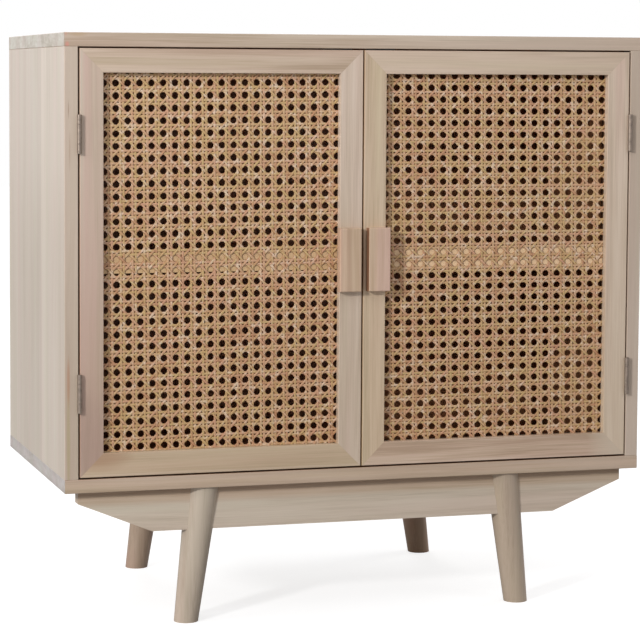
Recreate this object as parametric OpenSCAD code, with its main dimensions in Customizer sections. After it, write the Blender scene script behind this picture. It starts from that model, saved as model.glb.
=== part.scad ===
// Two-door sideboard with woven cane door panels, on splayed round legs.
// Millimetres, +Z up, standing on z = 0. The doors face -Y and X runs along the width.

/* [Carcass] */
// Width of the carcass
body_w = 800; // [640:1:1100]
// Depth of the carcass, front edge to back edge
body_d = 400; // [320:1:500]
// Height of the carcass without the legs
body_h = 590; // [480:1:760]
// Thickness of the top, bottom and side boards
board_t = 18; // [16:0.5:24]
// Radius of the eased arrises of the carcass boards
board_ease = 1; // [0.4:0.1:2]
// Thickness of the back panel
back_t = 5; // [3:0.5:8]
// How far the back panel is let into each board
back_let_in = 9; // [7:0.5:12]
// Clearance round the back panel in its rebate
back_play = 0.5; // [0.2:0.1:1]

/* [Shelf] */
// Thickness of the shelf
shelf_t = 18; // [14:0.5:24]
// Clear height under the shelf
shelf_h = 264; // [150:1:320]
// Distance from the doors' back to the shelf's front edge
shelf_setback = 22; // [18:1:80]
// Clearance at each end of the shelf
shelf_play = 0.5; // [0.2:0.1:1.5]
// Radius of a shelf pin
pin_r = 2.5; // [2:0.25:4]
// Length of a shelf pin in the board
pin_in = 9; // [6:0.5:11]
// Length of a shelf pin under the shelf
pin_out = 9; // [6:0.5:14]
// Distance from the shelf's front and back edges to its pins
pin_margin = 45; // [20:1:100]

/* [Doors] */
// Gap around and between the doors
door_gap = 2; // [1.6:0.1:3]
// Thickness of a door
door_t = 20; // [18:0.5:25]
// Width of the door stiles and rails
frame_w = 31; // [28:0.5:50]
// Thickness of the lip in front of the cane
lip_t = 9; // [8:0.5:10]
// Width of the rebate that holds the cane
cane_rebate = 8; // [6:0.5:9]
// Radius of the eased arrises of the door frame
frame_ease = 0.8; // [0.3:0.1:1.5]
// Length of a mitre key along its joint
key_l = 18; // [10:1:22]
// Width of a mitre key across its joint
key_w = 16; // [10:1:18]
// Thickness of a mitre key
key_t = 3; // [2:0.5:4]

/* [Cane] */
// Thickness of the cane sheet
cane_t = 2; // [1.5:0.1:2.5]
// Distance between neighbouring holes
cane_pitch = 36; // [34:0.5:60]
// Width of an eight-sided hole
cane_hole = 20; // [10:0.5:24]
// Clearance round the cane in its rebate
cane_play = 0.5; // [0.2:0.1:1]
// How far the beads behind the cane lie below the door's back
bead_below = 1; // [0:0.25:2]
// Height of the batten across the middle of each cane panel
batten_h = 27; // [16:0.5:50]

/* [Handles] */
// Width of a handle block
handle_w = 30; // [24:0.5:40]
// Height of a handle block
handle_h = 84; // [60:1:140]
// Thickness of a handle block
handle_t = 12; // [8:0.5:18]
// Distance from the door's meeting edge to the handle
handle_edge = 4; // [1:0.5:8]
// Radius of the eased arrises of a handle
handle_ease = 1.5; // [0.5:0.1:3]
// Distance between the two screws of a handle
handle_screw_pitch = 48; // [32:1:56]

/* [Hinges] */
// Length of a hinge
hinge_l = 50; // [40:1:70]
// Distance from the door's end to the hinge
hinge_end = 84; // [40:1:130]
// Outer radius of the knuckles
knuckle_r = 3; // [2.6:0.1:4]
// Chamfer at both ends of every knuckle
knuckle_chamfer = 0.3; // [0.1:0.05:0.5]
// Length of each outer knuckle
outer_knuckle_l = 12.5; // [8:0.5:16]
// Gap between knuckles
knuckle_gap = 0.2; // [0.1:0.05:0.4]
// Radius of the hinge pin
hinge_pin_r = 1.4; // [1:0.1:1.8]
// Radial clearance of the hinge pin
pin_fit = 0.05; // [0.02:0.01:0.08]
// Width of a hinge leaf in the gap
leaf_w = 17; // [14:0.5:19]
// Clearance between the two closed leaves
leaf_play = 0.3; // [0.2:0.05:0.5]
// Clearance between the knuckles and the front of the cabinet
knuckle_play = 0.3; // [0.2:0.05:0.8]

/* [Catches] */
// Length of a magnetic catch
catch_l = 40; // [30:1:60]
// Depth of a magnetic catch
catch_d = 14; // [10:0.5:20]
// Height of a magnetic catch
catch_h = 13; // [10:0.5:18]
// Distance from the middle of the cabinet to a catch
catch_x = 10; // [8:1:40]
// Thickness of the strike plate
strike_t = 1; // [0.6:0.1:1.5]
// Air gap between the magnet and its strike plate
strike_play = 0.4; // [0.3:0.1:1]

/* [Legs] */
// Height from the floor to the carcass
leg_h = 180; // [120:1:240]
// Radius of a leg at the carcass
leg_top_r = 22.2; // [21:0.1:26]
// Radius of a leg at the floor
leg_foot_r = 15.9; // [12:0.1:18]
// Sideways splay of the front legs in degrees
front_splay = 7; // [3:0.1:10]
// Sideways splay of the rear legs in degrees
rear_splay = 8; // [3:0.1:10]
// Distance from the side of the carcass to the middle of a front foot
front_foot_in = 167; // [160:1:200]
// Distance from the side of the carcass to the middle of a rear foot
rear_foot_in = 181; // [160:1:200]
// Distance from the outer face of an apron to the axis of its legs
leg_behind = 12; // [8:0.5:14]
// Clearance of a leg's slot on its apron
slot_fit = 0.1; // [0.05:0.05:0.3]

/* [Aprons] */
// Thickness of an apron
apron_t = 18; // [15:0.5:22]
// Height of an apron
apron_h = 56.5; // [45:0.5:70]
// Height of an apron's ends
apron_end_h = 16.5; // [8:0.5:30]
// Distance from the front or back of the carcass to its apron
apron_setback = 14; // [13:0.5:20]
// Distance from the side of the carcass to the apron's end
apron_inset = 20; // [10:1:30]
// Length of the slope at each end of an apron
apron_slope = 98.5; // [60:0.5:104]

/* [Joinery] */
// Radius of the carcass dowels
dowel_r = 4; // [3:0.5:5]
// Depth of a dowel in the top or bottom board
dowel_in_slab = 12; // [8:0.5:13]
// Depth of a dowel in the side board
dowel_in_side = 20; // [14:0.5:30]
// Dowels in each corner joint
dowel_count = 4; // [3:1:6]
// Distance from the front and back edges to the end dowels
dowel_margin = 45; // [25:1:70]
// Clearance of a dowel, pin, key or screw in its hole
joint_fit = 0.05; // [0.02:0.01:0.1]
// Radius of a large screw's shank
big_screw_r = 2.2; // [1.8:0.1:2.6]
// Radius of a large screw's head
big_head_r = 4; // [3.5:0.1:4.6]
// Radius of a small screw's shank
small_screw_r = 1.2; // [0.9:0.1:1.5]
// Radius of a small screw's head
small_head_r = 2.4; // [2:0.1:2.8]
// Length of the hinge, catch and back screws
small_screw_l = 14; // [10:0.5:16]
// Length of the strike plate screws
strike_screw_l = 9; // [7:0.5:11]
// Screws along each long edge of the back panel
back_screws_long = 5; // [3:1:7]
// Screws along each short edge of the back panel
back_screws_short = 3; // [2:1:5]

/* [Hidden] */

$fn = 48;
LEFT = -1;
RIGHT = 1;
ARC_STEPS = 3;
OVERCUT = 1;
WOOD = [0.74, 0.67, 0.59];
PALE_WOOD = [0.80, 0.76, 0.70];
CANE = [0.78, 0.66, 0.51];
STEEL = [0.68, 0.66, 0.64];
PLASTIC = [0.86, 0.85, 0.82];

// Carcass planes. The handles stand proud in front, and the origin is in the middle of all.
y_front = (handle_t - body_d) / 2;
y_back = y_front + body_d;
x_out = body_w / 2;
x_in = x_out - board_t;
z_base = leg_h;
z_floor = z_base + board_t;
z_ceiling = z_base + body_h - board_t;
z_top = z_base + body_h;
y_back_in = y_back - back_t;

// Shelf and its pins
z_shelf = z_floor + shelf_h;
y_shelf_front = y_front + door_t + shelf_setback;
shelf_end_x = x_in - shelf_play;
pin_ys = [y_shelf_front + pin_margin, y_back_in - pin_margin];

// Screws of the back panel
back_screw_in = 30;
back_screw_up = 60;

// A door, drawn on the left side
door_x0 = -x_in + door_gap;
door_x1 = -door_gap / 2;
door_z0 = z_floor + door_gap;
door_z1 = z_ceiling - door_gap;
door_y1 = y_front + door_t;
hole_x0 = door_x0 + frame_w;
hole_x1 = door_x1 - frame_w;
hole_z0 = door_z0 + frame_w;
hole_z1 = door_z1 - frame_w;
y_cane = y_front + lip_t;
y_bead = y_cane + cane_t;
door_z = (door_z0 + door_z1) / 2;
key_cover = 2;
key_y = y_front + lip_t - key_t - key_cover;
key_outward = 2;

// Hinge, drawn on the left side
axis_x = -x_in + door_gap / 2;
axis_y = y_front - knuckle_r - knuckle_play;
leaf_start = knuckle_r + knuckle_play + 0.1;
hinge_z = [door_z0 + hinge_end, door_z1 - hinge_end - hinge_l];
hinge_screw_zs = [hinge_l / 4, hinge_l * 3 / 4];
hinge_screw_y = y_front + leaf_w * 0.62;

// Handle, drawn on the left side
handle_x1 = door_x1 - handle_edge;
handle_x0 = handle_x1 - handle_w;
handle_screw_x = max((handle_x0 + handle_x1) / 2, hole_x1 + cane_rebate + big_head_r + OVERCUT);
handle_screw_l = door_t + handle_t * 0.6;

// Catch and strike plate, drawn on the left side
catch_y = door_y1 + strike_t + strike_play;
strike_h = catch_h - 2;
strike_below = 3;
strike_z1 = door_z1 - strike_below;
catch_screw_xs = [-catch_x - catch_l * 0.22, -catch_x - catch_l * 0.78];

// Legs and aprons
y_leg = y_front + apron_setback + leg_behind;
front_foot_x = x_out - front_foot_in;
rear_foot_x = x_out - rear_foot_in;
apron_end_x = x_out - apron_inset;
apron_flat_x = apron_end_x - apron_slope;
leg_screw_drops = [0.3, 0.72];
leg_head_in = 6;
leg_screw_l = leg_head_in + apron_t + 2 * slot_fit + (leg_top_r - leg_behind) / 2;
apron_screw_l = board_t + apron_h * 0.45;
apron_screw_in = 14;

// Place i of n places spread evenly from lo to hi
function spread(lo, hi, n, i) = lo + (hi - lo) * i / (n - 1);

// Points of a quarter round of radius r about c, from angle a
function quarter(c, r, a) =
    [for (i = [0:ARC_STEPS]) c + r * [cos(a + 90 * i / ARC_STEPS), sin(a + 90 * i / ARC_STEPS)]];

// Rectangle from lo to hi with all four corners rounded
module rounded_rect(lo, hi, r)
    polygon(concat(
        quarter([hi[0] - r, hi[1] - r], r, 0),
        quarter([lo[0] + r, hi[1] - r], r, 90),
        quarter([lo[0] + r, lo[1] + r], r, 180),
        quarter([hi[0] - r, lo[1] + r], r, 270)));

// Box between two opposite corners
module block(lo, hi)
    translate(lo) cube(hi - lo);

// Prism along X, Y or Z over a rounded section
module bar_x(lo, hi, r)
    translate([lo[0], 0, 0]) rotate([90, 0, 90]) linear_extrude(hi[0] - lo[0])
        rounded_rect([lo[1], lo[2]], [hi[1], hi[2]], r);

module bar_y(lo, hi, r)
    translate([0, hi[1], 0]) rotate([90, 0, 0]) linear_extrude(hi[1] - lo[1])
        rounded_rect([lo[0], lo[2]], [hi[0], hi[2]], r);

module bar_z(lo, hi, r)
    translate([0, 0, lo[2]]) linear_extrude(hi[2] - lo[2])
        rounded_rect([lo[0], lo[1]], [hi[0], hi[1]], r);

// Puts a left-hand piece on the chosen side
module on_side(s)
    mirror([s == RIGHT ? 1 : 0, 0, 0]) children();

// Countersunk screw with its head flush at z = 0, pointing down
module screw(r, head_r, l)
    rotate_extrude() polygon([[0, 0], [head_r, 0], [r, r - head_r], [r, 2 * r - l], [0, -l]]);

// Hole that the same screw fits, open above the head
module screw_hole(r, head_r, l, fit = joint_fit)
    rotate_extrude() polygon([[0, OVERCUT], [head_r + fit, OVERCUT], [head_r + fit, 0],
        [r + fit, r - head_r - fit], [r + fit, 2 * r - l - fit], [0, -l - fit]]);

// Carcass

module slab(z0)
    intersection() {
        bar_x([-x_out, y_front, z0], [x_out, y_back, z0 + board_t], board_ease);
        bar_y([-x_out, y_front, z0], [x_out, y_back, z0 + board_t], board_ease);
    }

module corner_dowels(fit = 0)
    for (x = [-1, 1] * (x_out - board_t / 2), i = [0:dowel_count - 1])
        translate([x, spread(y_front + dowel_margin, y_back - dowel_margin, dowel_count, i), 0]) {
            translate([0, 0, z_floor - dowel_in_slab - fit])
                cylinder(r = dowel_r + fit, h = dowel_in_slab + dowel_in_side + 2 * fit);
            translate([0, 0, z_ceiling - dowel_in_side - fit])
                cylinder(r = dowel_r + fit, h = dowel_in_slab + dowel_in_side + 2 * fit);
        }

module back_space(fit = 0)
    block([-x_in - back_let_in + fit, y_back_in, z_floor - back_let_in + fit],
        [x_in + back_let_in - fit, y_back + (fit == 0 ? OVERCUT : 0), z_ceiling + back_let_in - fit]);

module at_back_screws() {
    long_x = x_in + back_let_in / 2;
    for (z = [z_floor - back_let_in / 2, z_ceiling + back_let_in / 2], i = [0:back_screws_long - 1])
        let (x = spread(-long_x + back_screw_in, long_x - back_screw_in, back_screws_long, i))
            translate([x, y_back, z]) rotate([-90, 0, 0]) children();
    for (x = [-1, 1] * long_x, i = [0:back_screws_short - 1])
        let (z = spread(z_floor + back_screw_up, z_ceiling - back_screw_up, back_screws_short, i))
            translate([x, y_back, z]) rotate([-90, 0, 0]) children();
}

module at_apron_screws()
    for (y = [y_front + apron_setback + apron_t / 2, y_back - apron_setback - apron_t / 2],
            x = [-1, 1], k = [apron_flat_x - apron_screw_in, apron_flat_x / 3])
        translate([x * k, y, z_floor]) children();

module top_panel()
    color(WOOD) difference() {
        slab(z_ceiling);
        back_space();
        corner_dowels(joint_fit);
        at_back_screws() screw_hole(small_screw_r, small_head_r, small_screw_l);
        at_catch_screws() screw_hole(small_screw_r, small_head_r, small_screw_l);
    }

module bottom_panel()
    color(WOOD) difference() {
        slab(z_base);
        back_space();
        corner_dowels(joint_fit);
        at_back_screws() screw_hole(small_screw_r, small_head_r, small_screw_l);
        at_apron_screws() screw_hole(big_screw_r, big_head_r, apron_screw_l);
    }

module side_panel(s)
    color(PALE_WOOD) difference() {
        on_side(s) bar_z([-x_out, y_front, z_floor], [-x_in, y_back, z_ceiling], board_ease);
        back_space();
        corner_dowels(joint_fit);
        at_back_screws() screw_hole(small_screw_r, small_head_r, small_screw_l);
        at_shelf_pins() shelf_pin(joint_fit);
        on_side(s) at_hinge_screws() screw_hole(small_screw_r, small_head_r, small_screw_l);
    }

module back_panel()
    color(WOOD) difference() {
        back_space(back_play);
        at_back_screws() screw_hole(small_screw_r, small_head_r, small_screw_l);
    }

module back_panel_screws()
    color(STEEL) at_back_screws() screw(small_screw_r, small_head_r, small_screw_l);

module carcass_dowels()
    color(CANE) corner_dowels();

// Shelf

module at_shelf_pins()
    for (s = [LEFT, RIGHT], y = pin_ys)
        on_side(s) translate([-x_in, y, z_shelf - pin_r]) rotate([0, 90, 0]) children();

module shelf_pin(fit = 0)
    translate([0, 0, -pin_in - fit]) cylinder(r = pin_r + fit, h = pin_in + pin_out + fit);

module shelf()
    color(WOOD) bar_x([-shelf_end_x, y_shelf_front, z_shelf],
        [shelf_end_x, y_back_in - shelf_play, z_shelf + shelf_t], board_ease);

module shelf_pins()
    color(STEEL) at_shelf_pins() shelf_pin();

// Aprons and legs

module apron()
    translate([0, y_front + apron_setback + apron_t, z_base]) rotate([90, 0, 0])
        linear_extrude(apron_t) polygon([[-apron_end_x, 0], [-apron_end_x, -apron_end_h],
            [-apron_flat_x, -apron_h], [apron_flat_x, -apron_h], [apron_end_x, -apron_end_h],
            [apron_end_x, 0]]);

// Moves a front piece to the rear frame
module at_rear()
    translate([0, y_front + y_back, 0]) mirror([0, 1, 0]) children();

module at_leg_screws(foot_x, splay)
    for (x = [-1, 1], drop = leg_screw_drops)
        let (z = z_base - apron_h * drop)
            translate([x * (foot_x - z * tan(splay)),
                y_front + apron_setback + apron_t + slot_fit + leg_head_in, z])
                rotate([-90, 0, 0]) children();

module front_apron()
    color(PALE_WOOD) difference() {
        apron();
        at_apron_screws() screw_hole(big_screw_r, big_head_r, apron_screw_l);
        at_leg_screws(front_foot_x, front_splay) screw_hole(big_screw_r, big_head_r, leg_screw_l);
    }

module rear_apron()
    color(PALE_WOOD) difference() {
        at_rear() apron();
        at_apron_screws() screw_hole(big_screw_r, big_head_r, apron_screw_l);
        at_rear() at_leg_screws(rear_foot_x, rear_splay)
            screw_hole(big_screw_r, big_head_r, leg_screw_l);
    }

// Round tapered leg on the left, slotted over the apron and cut level at both ends
module leg(foot_x, splay) {
    slant_h = leg_h / cos(splay);
    taper = (leg_top_r - leg_foot_r) / slant_h;
    over = leg_top_r;
    color(PALE_WOOD) difference() {
        intersection() {
            translate([-foot_x, y_leg, 0]) rotate([0, splay, 0]) translate([0, 0, -over])
                cylinder(r1 = leg_foot_r - taper * over, r2 = leg_top_r + taper * over,
                    h = slant_h + 2 * over);
            block([-x_out, y_leg - 2 * leg_top_r, 0], [0, y_leg + 2 * leg_top_r, z_base]);
        }
        block([-x_out, y_front + apron_setback - slot_fit, z_base - apron_h],
            [0, y_front + apron_setback + apron_t + slot_fit, z_base + OVERCUT]);
        at_leg_screws(foot_x, splay) {
            screw_hole(big_screw_r, big_head_r, leg_screw_l);
            cylinder(r = big_head_r + joint_fit, h = 2 * leg_top_r);
        }
    }
}

module apron_screws()
    color(STEEL) at_apron_screws() screw(big_screw_r, big_head_r, apron_screw_l);

module leg_screws()
    color(STEEL) {
        at_leg_screws(front_foot_x, front_splay) screw(big_screw_r, big_head_r, leg_screw_l);
        at_rear() at_leg_screws(rear_foot_x, rear_splay)
            screw(big_screw_r, big_head_r, leg_screw_l);
    }

// Door frame

module mitre_keys_left(fit = 0)
    for (x = [door_x0, door_x1], z = [door_z0, door_z1])
        let (sx = x == door_x0 ? 1 : -1, sz = z == door_z0 ? 1 : -1, d = frame_w / 2)
            translate([x + sx * (d - key_outward), key_y, z + sz * (d - key_outward)])
                rotate([0, -45 * sx * sz, 0]) translate([-key_l / 2 - fit, -fit, -key_w / 2 - fit])
                    cube([key_l + 2 * fit, key_t + 2 * fit, key_w + 2 * fit]);

// Triangle or trapezoid that one member of the mitred frame keeps
module mitre(points)
    translate([0, door_y1 + OVERCUT, 0]) rotate([90, 0, 0])
        linear_extrude(door_t + 2 * OVERCUT) polygon(points);

module frame_member(lo, hi, points)
    color(WOOD) difference() {
        intersection() {
            children(0);
            mitre(points);
        }
        block([hole_x0 - cane_rebate, y_cane, hole_z0 - cane_rebate],
            [hole_x1 + cane_rebate, door_y1 + OVERCUT, hole_z1 + cane_rebate]);
        mitre_keys_left(joint_fit);
        if ($children > 1) children(1);
    }

module hinge_stile()
    frame_member(points =
            [[door_x0, door_z0], [hole_x0, hole_z0], [hole_x0, hole_z1], [door_x0, door_z1]]) {
        bar_z([door_x0, y_front, door_z0], [hole_x0, door_y1, door_z1], frame_ease);
        at_hinge_screws(door = true) screw_hole(small_screw_r, small_head_r, small_screw_l);
    }

module meeting_stile()
    frame_member(points =
            [[door_x1, door_z0], [hole_x1, hole_z0], [hole_x1, hole_z1], [door_x1, door_z1]]) {
        bar_z([hole_x1, y_front, door_z0], [door_x1, door_y1, door_z1], frame_ease);
        at_handle_screws() screw_hole(big_screw_r, big_head_r, handle_screw_l);
    }

module top_rail()
    frame_member(points =
            [[door_x0, door_z1], [hole_x0, hole_z1], [hole_x1, hole_z1], [door_x1, door_z1]]) {
        bar_x([door_x0, y_front, hole_z1], [door_x1, door_y1, door_z1], frame_ease);
        at_strike_screws() screw_hole(small_screw_r, small_head_r, strike_screw_l);
    }

module bottom_rail()
    frame_member(points =
            [[door_x0, door_z0], [hole_x0, hole_z0], [hole_x1, hole_z0], [door_x1, door_z0]])
        bar_x([door_x0, y_front, door_z0], [door_x1, door_y1, hole_z0], frame_ease);

module mitre_keys(s)
    color(CANE) on_side(s) mitre_keys_left();

// Cane sheet with eight-sided holes, the beads that hold it and the batten behind its middle

module cane() {
    w = hole_x1 - hole_x0;
    h = hole_z1 - hole_z0;
    nx = floor(w / cane_pitch);
    nz = floor(h / cane_pitch);
    color(CANE) translate([(hole_x0 + hole_x1) / 2, y_bead, (hole_z0 + hole_z1) / 2])
        rotate([90, 0, 0]) linear_extrude(cane_t) difference() {
            square([w + 2 * (cane_rebate - cane_play), h + 2 * (cane_rebate - cane_play)], center = true);
            for (i = [0:nx - 1], k = [0:nz - 1])
                translate([(i - (nx - 1) / 2) * cane_pitch, (k - (nz - 1) / 2) * cane_pitch])
                    rotate(22.5) circle(d = cane_hole, $fn = 8);
        }
}

module upright_beads()
    color(WOOD) for (x = [hole_x0 - cane_rebate, hole_x1])
        block([x, y_bead, hole_z0 - cane_rebate],
            [x + cane_rebate, door_y1 - bead_below, hole_z1 + cane_rebate]);

module cross_beads()
    color(WOOD) for (z = [hole_z0 - cane_rebate, hole_z1])
        block([hole_x0, y_bead, z], [hole_x1, door_y1 - bead_below, z + cane_rebate]);

module batten()
    color(WOOD) block([hole_x0, y_bead, door_z - batten_h / 2],
        [hole_x1, door_y1 - bead_below, door_z + batten_h / 2]);

// Handles

module at_handle_screws()
    for (z = [-1, 1] * handle_screw_pitch / 2)
        translate([handle_screw_x, door_y1, door_z + z]) rotate([-90, 0, 0]) children();

module handle()
    color(WOOD) difference() {
        intersection() {
            bar_z([handle_x0, y_front - handle_t, door_z - handle_h / 2],
                [handle_x1, y_front + handle_ease, door_z + handle_h / 2], handle_ease);
            bar_x([handle_x0, y_front - handle_t, door_z - handle_h / 2],
                [handle_x1, y_front + handle_ease, door_z + handle_h / 2], handle_ease);
            block([handle_x0, y_front - handle_t, door_z - handle_h / 2],
                [handle_x1, y_front, door_z + handle_h / 2]);
        }
        at_handle_screws() screw_hole(big_screw_r, big_head_r, handle_screw_l);
    }

module handle_screws()
    color(STEEL) at_handle_screws() screw(big_screw_r, big_head_r, handle_screw_l);

// Hinges: the case leaf has the outer knuckles and the door leaf the middle one

module knuckle(z0, z1, side)
    translate([axis_x, axis_y, 0]) difference() {
        union() {
            rotate_extrude() polygon([[0, z0], [knuckle_r - knuckle_chamfer, z0],
                [knuckle_r, z0 + knuckle_chamfer], [knuckle_r, z1 - knuckle_chamfer],
                [knuckle_r - knuckle_chamfer, z1], [0, z1]]);
            block([min(side * leaf_play / 2, side * door_gap / 2), 0, z0],
                [max(side * leaf_play / 2, side * door_gap / 2), leaf_start + OVERCUT, z1]);
        }
        translate([0, 0, z0 - OVERCUT])
            cylinder(r = hinge_pin_r + pin_fit, h = z1 - z0 + 2 * OVERCUT);
    }

module leaf(z0, side)
    block([axis_x + min(side * leaf_play / 2, side * door_gap / 2), axis_y + leaf_start, z0],
        [axis_x + max(side * leaf_play / 2, side * door_gap / 2), y_front + leaf_w, z0 + hinge_l]);

module at_hinge_screws(door = false)
    for (z0 = hinge_z, z = hinge_screw_zs)
        translate([axis_x + (door ? 1 : -1) * leaf_play / 2, hinge_screw_y, z0 + z])
            rotate([0, door ? -90 : 90, 0]) children();

module case_leaf(z0)
    color(STEEL) difference() {
        union() {
            leaf(z0, -1);
            knuckle(z0, z0 + outer_knuckle_l, -1);
            knuckle(z0 + hinge_l - outer_knuckle_l, z0 + hinge_l, -1);
        }
        at_hinge_screws() screw_hole(small_screw_r, small_head_r, small_screw_l);
    }

module door_leaf(z0)
    color(STEEL) difference() {
        union() {
            leaf(z0, 1);
            knuckle(z0 + outer_knuckle_l + knuckle_gap, z0 + hinge_l - outer_knuckle_l - knuckle_gap, 1);
        }
        at_hinge_screws(door = true) screw_hole(small_screw_r, small_head_r, small_screw_l);
    }

module hinge_pins(s)
    color(STEEL) on_side(s) for (z0 = hinge_z)
        translate([axis_x, axis_y, z0]) cylinder(r = hinge_pin_r, h = hinge_l);

module hinge_screws(s, door)
    color(STEEL) on_side(s) at_hinge_screws(door) screw(small_screw_r, small_head_r, small_screw_l);

// Catches and strike plates

module at_catch_screws()
    for (s = [LEFT, RIGHT], x = catch_screw_xs)
        on_side(s) translate([x, catch_y + catch_d / 2, z_ceiling - catch_h / 2])
            rotate([180, 0, 0]) children();

module catch_body()
    color(PLASTIC) difference() {
        block([-catch_x - catch_l, catch_y, z_ceiling - catch_h], [-catch_x, catch_y + catch_d, z_ceiling]);
        at_catch_screws() {
            screw_hole(small_screw_r, small_head_r, small_screw_l);
            cylinder(r = small_head_r + joint_fit, h = catch_h);
        }
    }

module catch_screws()
    color(STEEL) at_catch_screws() screw(small_screw_r, small_head_r, small_screw_l);

module at_strike_screws()
    for (x = catch_screw_xs)
        translate([x, door_y1 + strike_t, strike_z1 - strike_h / 2]) rotate([-90, 0, 0]) children();

module strike_plate()
    color(STEEL) difference() {
        block([-catch_x - catch_l, door_y1, strike_z1 - strike_h],
            [-catch_x, door_y1 + strike_t, strike_z1]);
        at_strike_screws() screw_hole(small_screw_r, small_head_r, strike_screw_l);
    }

module strike_screws(s)
    color(STEEL) on_side(s) at_strike_screws() screw(small_screw_r, small_head_r, strike_screw_l);

top_panel();
bottom_panel();
side_panel(LEFT);  // left_side_panel
side_panel(RIGHT);  // right_side_panel
back_panel();
back_panel_screws();
carcass_dowels();
shelf();
shelf_pins();
front_apron();
rear_apron();
apron_screws();
leg(front_foot_x, front_splay);  // front_left_leg
on_side(RIGHT) leg(front_foot_x, front_splay);  // front_right_leg
at_rear() leg(rear_foot_x, rear_splay);  // rear_left_leg
at_rear() on_side(RIGHT) leg(rear_foot_x, rear_splay);  // rear_right_leg
leg_screws();
on_side(LEFT) hinge_stile();  // left_hinge_stile
on_side(LEFT) meeting_stile();  // left_meeting_stile
on_side(LEFT) top_rail();  // left_top_rail
on_side(LEFT) bottom_rail();  // left_bottom_rail
mitre_keys(LEFT);  // left_mitre_keys
on_side(LEFT) cane();  // left_cane
on_side(LEFT) upright_beads();  // left_upright_beads
on_side(LEFT) cross_beads();  // left_cross_beads
on_side(LEFT) batten();  // left_batten
on_side(LEFT) handle();  // left_handle
on_side(LEFT) handle_screws();  // left_handle_screws
on_side(LEFT) strike_plate();  // left_strike_plate
strike_screws(LEFT);  // left_strike_screws
on_side(RIGHT) hinge_stile();  // right_hinge_stile
on_side(RIGHT) meeting_stile();  // right_meeting_stile
on_side(RIGHT) top_rail();  // right_top_rail
on_side(RIGHT) bottom_rail();  // right_bottom_rail
mitre_keys(RIGHT);  // right_mitre_keys
on_side(RIGHT) cane();  // right_cane
on_side(RIGHT) upright_beads();  // right_upright_beads
on_side(RIGHT) cross_beads();  // right_cross_beads
on_side(RIGHT) batten();  // right_batten
on_side(RIGHT) handle();  // right_handle
on_side(RIGHT) handle_screws();  // right_handle_screws
on_side(RIGHT) strike_plate();  // right_strike_plate
strike_screws(RIGHT);  // right_strike_screws
on_side(LEFT) case_leaf(hinge_z[1]);  // left_upper_hinge_case_leaf
on_side(LEFT) door_leaf(hinge_z[1]);  // left_upper_hinge_door_leaf
on_side(LEFT) case_leaf(hinge_z[0]);  // left_lower_hinge_case_leaf
on_side(LEFT) door_leaf(hinge_z[0]);  // left_lower_hinge_door_leaf
on_side(RIGHT) case_leaf(hinge_z[1]);  // right_upper_hinge_case_leaf
on_side(RIGHT) door_leaf(hinge_z[1]);  // right_upper_hinge_door_leaf
on_side(RIGHT) case_leaf(hinge_z[0]);  // right_lower_hinge_case_leaf
on_side(RIGHT) door_leaf(hinge_z[0]);  // right_lower_hinge_door_leaf
hinge_pins(LEFT);  // left_hinge_pins
hinge_pins(RIGHT);  // right_hinge_pins
hinge_screws(LEFT, false);  // left_hinge_case_screws
hinge_screws(LEFT, true);  // left_hinge_door_screws
hinge_screws(RIGHT, false);  // right_hinge_case_screws
hinge_screws(RIGHT, true);  // right_hinge_door_screws
on_side(LEFT) catch_body();  // left_catch
on_side(RIGHT) catch_body();  // right_catch
catch_screws();
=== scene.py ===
"""Cane-front sideboard: materials, woven cane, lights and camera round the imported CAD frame."""
import math
import random

import bpy
import numpy as np
from mathutils import Matrix, Vector


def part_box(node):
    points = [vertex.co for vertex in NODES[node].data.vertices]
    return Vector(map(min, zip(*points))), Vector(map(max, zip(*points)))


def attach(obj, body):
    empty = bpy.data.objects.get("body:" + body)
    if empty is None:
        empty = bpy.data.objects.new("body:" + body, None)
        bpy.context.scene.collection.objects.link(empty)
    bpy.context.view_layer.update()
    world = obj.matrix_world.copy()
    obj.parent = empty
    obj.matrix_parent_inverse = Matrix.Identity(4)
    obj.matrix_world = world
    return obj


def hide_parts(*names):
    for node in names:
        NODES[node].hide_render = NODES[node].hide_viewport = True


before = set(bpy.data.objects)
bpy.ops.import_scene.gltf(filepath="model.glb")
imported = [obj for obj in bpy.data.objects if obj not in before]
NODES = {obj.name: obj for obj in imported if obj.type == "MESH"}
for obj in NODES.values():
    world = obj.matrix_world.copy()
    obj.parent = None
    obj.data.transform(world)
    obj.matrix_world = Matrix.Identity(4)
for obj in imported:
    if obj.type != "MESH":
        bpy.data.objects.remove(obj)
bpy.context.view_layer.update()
SIDES = ("left", "right")


def srgb(r, g, b):
    """Linear colour with alpha from 8-bit sRGB values, by the standard curve."""
    out = []
    for v in (r, g, b):
        v /= 255.0
        out.append(v / 12.92 if v <= 0.04045 else ((v + 0.055) / 1.055) ** 2.4)
    return (*out, 1.0)


def shade(colour, share):
    """The same colour, darker."""
    return tuple(share * c for c in colour[:3]) + (1.0,)


def even(value):
    """Three times the same number, as a tint or as a scale."""
    return (value, value, value)


WHITE = (1.0, 1.0, 1.0, 1.0)
HALF = 0.5


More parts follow.
